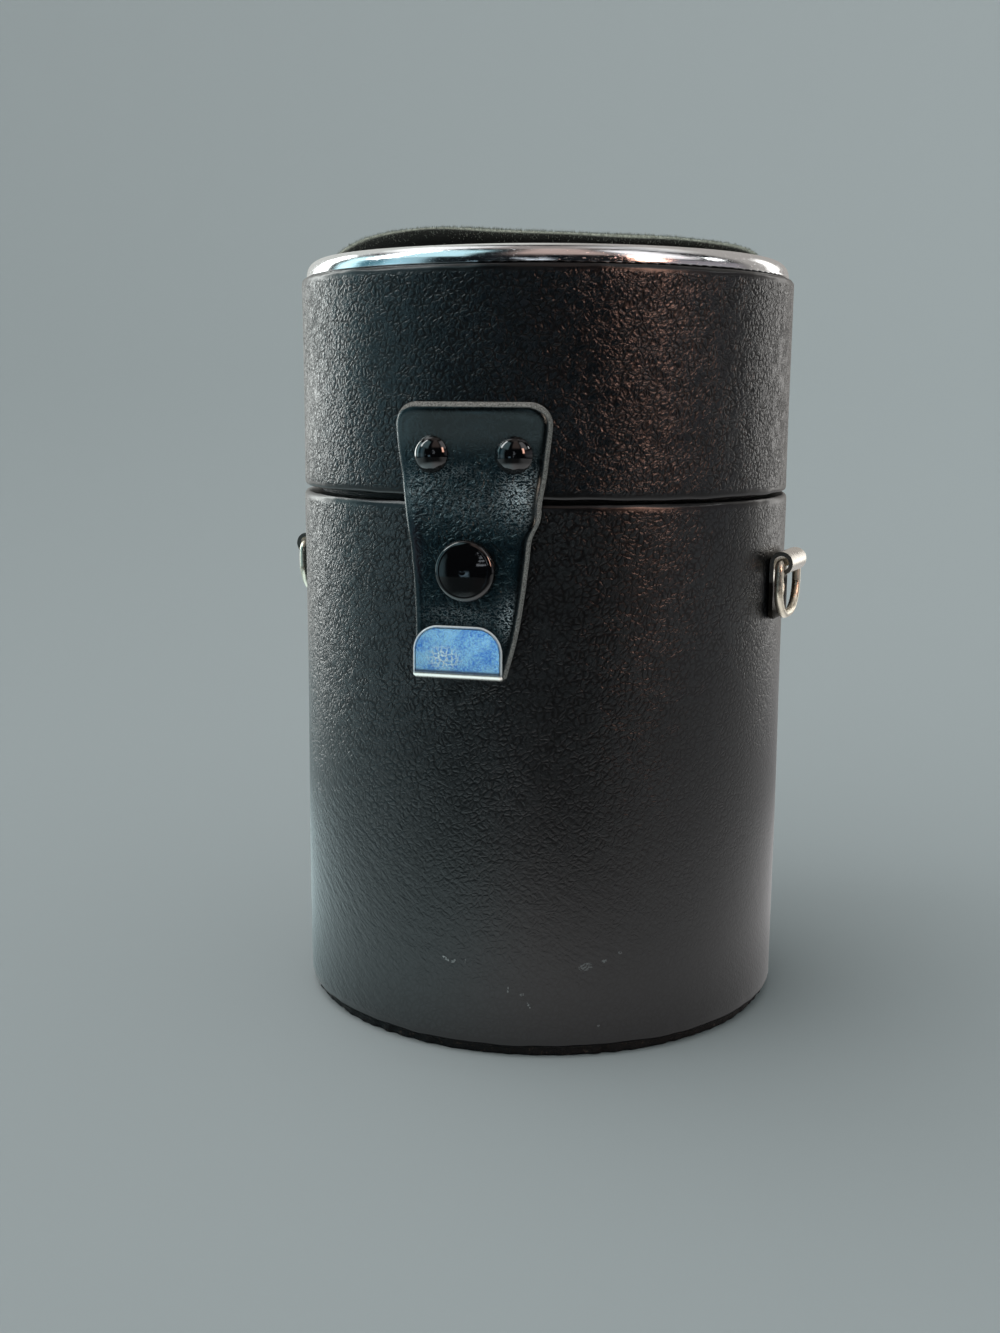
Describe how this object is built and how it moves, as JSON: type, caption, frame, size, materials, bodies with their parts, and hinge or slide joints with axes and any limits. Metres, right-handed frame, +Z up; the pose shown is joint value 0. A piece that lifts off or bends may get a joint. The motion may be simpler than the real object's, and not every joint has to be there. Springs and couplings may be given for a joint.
{
  "type": "camera lens case",
  "caption": "Upright cylindrical black leather lens case with a hinged lid, snap-fastened latch tab, chrome top ring, padded crown and side strap rings.",
  "frame": {"origin": "centre of the round underside, on the surface that the case stands on", "axes": "+Z up along the tube's axis, -Y towards the latch tab at the front, +X to the right seen from the front"},
  "size_m": [0.1228, 0.1238, 0.175],
  "materials": {
    "black_leather": "pebble-grained black leatherette, semi-gloss",
    "tab_leather": "black grained leather with a pale raw edge",
    "base_leather": "matt black, worn brown at the rim",
    "pad_leather": "soft matt black, slightly fuzzy",
    "board": "brown fibreboard",
    "sleeve_paper": "fibreboard sleeve faced with black paper",
    "lining_velvet": "dark red short-pile velvet",
    "bright_chrome": "polished, fine scratches",
    "nickel": "nickel plate, slightly warm",
    "snap_metal": "nickel-washed brass",
    "spring_wire": "bare spring wire",
    "black_enamel": "glossy black enamel on pressed metal"
  },
  "bodies": {
    "case_body": {"base_disc": "base_leather", "base_board": "board", "body_shell": "board", "body_cover": "black_leather", "neck_sleeve": "sleeve_paper", "body_lining": "lining_velvet", "base_pad": "lining_velvet", "snap_stud": "snap_metal", "snap_post": "snap_metal", "lug_plate_left": "nickel", "lug_plate_right": "nickel", "lug_rivets": "nickel", "lug_washers": "snap_metal", "hinge_strap_lower": "tab_leather", "hinge_rivets_lower": "black_enamel", "hinge_washers_lower": "snap_metal"},
    "lid": {"lid_shell": "board", "lid_cover": "black_leather", "lid_lining": "lining_velvet", "lid_top_board": "board", "lid_pad": "lining_velvet", "trim_ring": "bright_chrome", "top_pad": "pad_leather", "hinge_strap_upper": "tab_leather", "hinge_rivets_upper": "black_enamel", "hinge_washers_upper": "snap_metal", "latch_tab": "tab_leather", "tab_rivets": "black_enamel", "tab_washers": "snap_metal"},
    "latch_flap": {"latch_flap": "tab_leather", "snap_cap": "black_enamel", "snap_socket": "snap_metal", "snap_spring": "spring_wire", "tip_clip": "bright_chrome"},
    "ring_left": {"strap_ring_left": "nickel"},
    "ring_right": {"strap_ring_right": "nickel"}
  },
  "joints": [
    {"name": "lid_hinge", "type": "hinge", "parent": "case_body", "child": "lid", "pos_m": [0, 0.0584, 0.1182], "axis": [-1, 0, 0], "range_deg": [0, 150]},
    {"name": "latch_bend", "type": "hinge", "parent": "lid", "child": "latch_flap", "pos_m": [0, -0.05928, 0.1198], "axis": [-1, 0, 0], "range_deg": [0, 120]},
    {"name": "ring_left_swing", "type": "hinge", "parent": "case_body", "child": "ring_left", "pos_m": [-0.05856, 0.00204, 0.1033], "axis": [0.0349, 0.9994, 0], "range_deg": [0, 175]},
    {"name": "ring_right_swing", "type": "hinge", "parent": "case_body", "child": "ring_right", "pos_m": [0.05807, -0.00785, 0.1033], "axis": [-0.134, -0.991, 0], "range_deg": [0, 175]}
  ]
}
